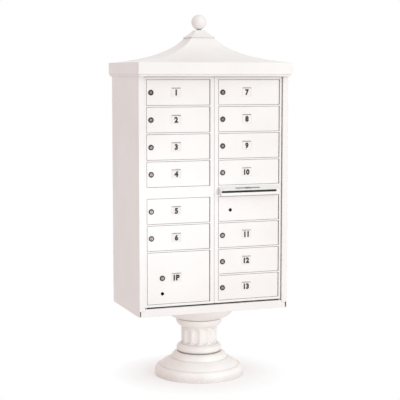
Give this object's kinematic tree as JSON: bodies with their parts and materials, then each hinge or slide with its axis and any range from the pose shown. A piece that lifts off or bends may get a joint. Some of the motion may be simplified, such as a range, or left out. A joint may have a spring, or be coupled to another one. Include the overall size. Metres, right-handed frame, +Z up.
{
  "type": "cluster mailbox unit",
  "caption": "Free-standing cluster mailbox cabinet with tenant doors, a parcel door, an outgoing mail slot, a hipped roof with a ball finial and a fluted pedestal cover.",
  "frame": {"origin": "on the floor, under the centre of the pedestal and of the cabinet", "axes": "+Z up, -Y out of the front doors, +X to the right of someone facing the front"},
  "size_m": [0.7886, 0.5192, 1.8185],
  "materials": {
    "powder_coat": "white powder coat, satin",
    "rack_aluminium": "mill aluminium",
    "cover_white": "white, satin",
    "lock_chrome": "polished",
    "lock_plug": "satin",
    "pin_steel": "satin"
  },
  "bodies": {
    "cabinet": {"cabinet_shell": "powder_coat", "floor_pan": "powder_coat", "compartment_rack": "rack_aluminium", "roof": "powder_coat", "roof_cap": "powder_coat", "finial": "powder_coat", "pedestal": "powder_coat", "cover_front_half": "cover_white", "cover_rear_half": "cover_white", "master_hinge_pins": "pin_steel"},
    "left_master_door": {"left_master_frame": "powder_coat", "left_door_pins": "pin_steel"},
    "right_master_door": {"right_master_frame": "powder_coat", "right_door_pins": "pin_steel", "mail_hood": "powder_coat"},
    "latch": {"latch_bar": "pin_steel"},
    "slot_flap": {"mail_flap": "rack_aluminium"},
    "door_1": {"tenant_door_1": "powder_coat", "lock_housing_1": "lock_chrome"},
    "door_2": {"tenant_door_2": "powder_coat", "lock_housing_2": "lock_chrome"},
    "door_3": {"tenant_door_3": "powder_coat", "lock_housing_3": "lock_chrome"},
    "door_4": {"tenant_door_4": "powder_coat", "lock_housing_4": "lock_chrome"},
    "door_5": {"tenant_door_5": "powder_coat", "lock_housing_5": "lock_chrome"},
    "door_6": {"tenant_door_6": "powder_coat", "lock_housing_6": "lock_chrome"},
    "door_parcel": {"parcel_door": "powder_coat", "lock_housing_parcel": "lock_chrome"},
    "door_7": {"tenant_door_7": "powder_coat", "lock_housing_7": "lock_chrome"},
    "door_8": {"tenant_door_8": "powder_coat", "lock_housing_8": "lock_chrome"},
    "door_9": {"tenant_door_9": "powder_coat", "lock_housing_9": "lock_chrome"},
    "door_10": {"tenant_door_10": "powder_coat", "lock_housing_10": "lock_chrome"},
    "door_outgoing": {"outgoing_door": "powder_coat"},
    "door_11": {"tenant_door_11": "powder_coat", "lock_housing_11": "lock_chrome"},
    "door_12": {"tenant_door_12": "powder_coat", "lock_housing_12": "lock_chrome"},
    "door_13": {"tenant_door_13": "powder_coat", "lock_housing_13": "lock_chrome"},
    "cam_1": {"lock_cam_1": "lock_plug"},
    "cam_2": {"lock_cam_2": "lock_plug"},
    "cam_3": {"lock_cam_3": "lock_plug"},
    "cam_4": {"lock_cam_4": "lock_plug"},
    "cam_5": {"lock_cam_5": "lock_plug"},
    "cam_6": {"lock_cam_6": "lock_plug"},
    "cam_parcel": {"lock_cam_parcel": "lock_plug"},
    "cam_7": {"lock_cam_7": "lock_plug"},
    "cam_8": {"lock_cam_8": "lock_plug"},
    "cam_9": {"lock_cam_9": "lock_plug"},
    "cam_10": {"lock_cam_10": "lock_plug"},
    "cam_11": {"lock_cam_11": "lock_plug"},
    "cam_12": {"lock_cam_12": "lock_plug"},
    "cam_13": {"lock_cam_13": "lock_plug"}
  },
  "joints": [
    {"name": "left_master_hinge", "type": "hinge", "parent": "cabinet", "child": "left_master_door", "pos_m": [-0.35105, -0.2136, 0.4006], "axis": [0, 0, 1], "range_deg": [-92, 0]},
    {"name": "right_master_hinge", "type": "hinge", "parent": "cabinet", "child": "right_master_door", "pos_m": [0.35105, -0.2136, 0.4006], "axis": [0, 0, -1], "range_deg": [-92, 0]},
    {"name": "latch_slide", "type": "slide", "parent": "right_master_door", "child": "latch", "axis": [0, 0, 1], "range_m": [0, 0.012]},
    {"name": "slot_flap_hinge", "type": "hinge", "parent": "right_master_door", "child": "slot_flap", "pos_m": [0.178, -0.2121, 0.97085], "axis": [1, 0, 0], "range_deg": [0, 60]},
    {"name": "door_1_hinge", "type": "hinge", "parent": "left_master_door", "child": "door_1", "pos_m": [-0.0257, -0.2144, 1.43562], "axis": [0, 0, 1], "range_deg": [0, 95]},
    {"name": "door_2_hinge", "type": "hinge", "parent": "left_master_door", "child": "door_2", "pos_m": [-0.0257, -0.2144, 1.30523], "axis": [0, 0, 1], "range_deg": [0, 95]},
    {"name": "door_3_hinge", "type": "hinge", "parent": "left_master_door", "child": "door_3", "pos_m": [-0.0257, -0.2144, 1.17483], "axis": [0, 0, 1], "range_deg": [0, 95]},
    {"name": "door_4_hinge", "type": "hinge", "parent": "left_master_door", "child": "door_4", "pos_m": [-0.0257, -0.2144, 1.04442], "axis": [0, 0, 1], "range_deg": [0, 95]},
    {"name": "door_5_hinge", "type": "hinge", "parent": "left_master_door", "child": "door_5", "pos_m": [-0.0257, -0.2144, 0.86603], "axis": [0, 0, 1], "range_deg": [0, 95]},
    {"name": "door_6_hinge", "type": "hinge", "parent": "left_master_door", "child": "door_6", "pos_m": [-0.0257, -0.2144, 0.73562], "axis": [0, 0, 1], "range_deg": [0, 95]},
    {"name": "door_parcel_hinge", "type": "hinge", "parent": "left_master_door", "child": "door_parcel", "pos_m": [-0.0257, -0.2144, 0.54002], "axis": [0, 0, 1], "range_deg": [0, 95]},
    {"name": "door_7_hinge", "type": "hinge", "parent": "right_master_door", "child": "door_7", "pos_m": [0.3403, -0.2144, 1.43562], "axis": [0, 0, 1], "range_deg": [0, 95]},
    {"name": "door_8_hinge", "type": "hinge", "parent": "right_master_door", "child": "door_8", "pos_m": [0.3403, -0.2144, 1.30523], "axis": [0, 0, 1], "range_deg": [0, 95]},
    {"name": "door_9_hinge", "type": "hinge", "parent": "right_master_door", "child": "door_9", "pos_m": [0.3403, -0.2144, 1.17483], "axis": [0, 0, 1], "range_deg": [0, 95]},
    {"name": "door_10_hinge", "type": "hinge", "parent": "right_master_door", "child": "door_10", "pos_m": [0.3403, -0.2144, 1.04442], "axis": [0, 0, 1], "range_deg": [0, 95]},
    {"name": "door_outgoing_hinge", "type": "hinge", "parent": "right_master_door", "child": "door_outgoing", "pos_m": [0.3403, -0.2144, 0.86603], "axis": [0, 0, 1], "range_deg": [0, 95]},
    {"name": "door_11_hinge", "type": "hinge", "parent": "right_master_door", "child": "door_11", "pos_m": [0.3403, -0.2144, 0.73562], "axis": [0, 0, 1], "range_deg": [0, 95]},
    {"name": "door_12_hinge", "type": "hinge", "parent": "right_master_door", "child": "door_12", "pos_m": [0.3403, -0.2144, 0.60523], "axis": [0, 0, 1], "range_deg": [0, 95]},
    {"name": "door_13_hinge", "type": "hinge", "parent": "right_master_door", "child": "door_13", "pos_m": [0.3403, -0.2144, 0.47482], "axis": [0, 0, 1], "range_deg": [0, 95]},
    {"name": "lock_1_turn", "type": "hinge", "parent": "door_1", "child": "cam_1", "pos_m": [-0.3224, -0.2014, 1.43562], "axis": [0, 1, 0], "range_deg": [0, 90]},
    {"name": "lock_2_turn", "type": "hinge", "parent": "door_2", "child": "cam_2", "pos_m": [-0.3224, -0.2014, 1.30523], "axis": [0, 1, 0], "range_deg": [0, 90]},
    {"name": "lock_3_turn", "type": "hinge", "parent": "door_3", "child": "cam_3", "pos_m": [-0.3224, -0.2014, 1.17483], "axis": [0, 1, 0], "range_deg": [0, 90]},
    {"name": "lock_4_turn", "type": "hinge", "parent": "door_4", "child": "cam_4", "pos_m": [-0.3224, -0.2014, 1.04442], "axis": [0, 1, 0], "range_deg": [0, 90]},
    {"name": "lock_5_turn", "type": "hinge", "parent": "door_5", "child": "cam_5", "pos_m": [-0.3224, -0.2014, 0.86603], "axis": [0, 1, 0], "range_deg": [0, 90]},
    {"name": "lock_6_turn", "type": "hinge", "parent": "door_6", "child": "cam_6", "pos_m": [-0.3224, -0.2014, 0.73562], "axis": [0, 1, 0], "range_deg": [0, 90]},
    {"name": "lock_parcel_turn", "type": "hinge", "parent": "door_parcel", "child": "cam_parcel", "pos_m": [-0.2678, -0.2014, 0.54002], "axis": [0, 1, 0], "range_deg": [0, 90]},
    {"name": "lock_7_turn", "type": "hinge", "parent": "door_7", "child": "cam_7", "pos_m": [0.0436, -0.2014, 1.43562], "axis": [0, 1, 0], "range_deg": [0, 90]},
    {"name": "lock_8_turn", "type": "hinge", "parent": "door_8", "child": "cam_8", "pos_m": [0.0436, -0.2014, 1.30523], "axis": [0, 1, 0], "range_deg": [0, 90]},
    {"name": "lock_9_turn", "type": "hinge", "parent": "door_9", "child": "cam_9", "pos_m": [0.0436, -0.2014, 1.17483], "axis": [0, 1, 0], "range_deg": [0, 90]},
    {"name": "lock_10_turn", "type": "hinge", "parent": "door_10", "child": "cam_10", "pos_m": [0.0436, -0.2014, 1.04442], "axis": [0, 1, 0], "range_deg": [0, 90]},
    {"name": "lock_11_turn", "type": "hinge", "parent": "door_11", "child": "cam_11", "pos_m": [0.0436, -0.2014, 0.73562], "axis": [0, 1, 0], "range_deg": [0, 90]},
    {"name": "lock_12_turn", "type": "hinge", "parent": "door_12", "child": "cam_12", "pos_m": [0.0436, -0.2014, 0.60523], "axis": [0, 1, 0], "range_deg": [0, 90]},
    {"name": "lock_13_turn", "type": "hinge", "parent": "door_13", "child": "cam_13", "pos_m": [0.0436, -0.2014, 0.47482], "axis": [0, 1, 0], "range_deg": [0, 90]}
  ]
}
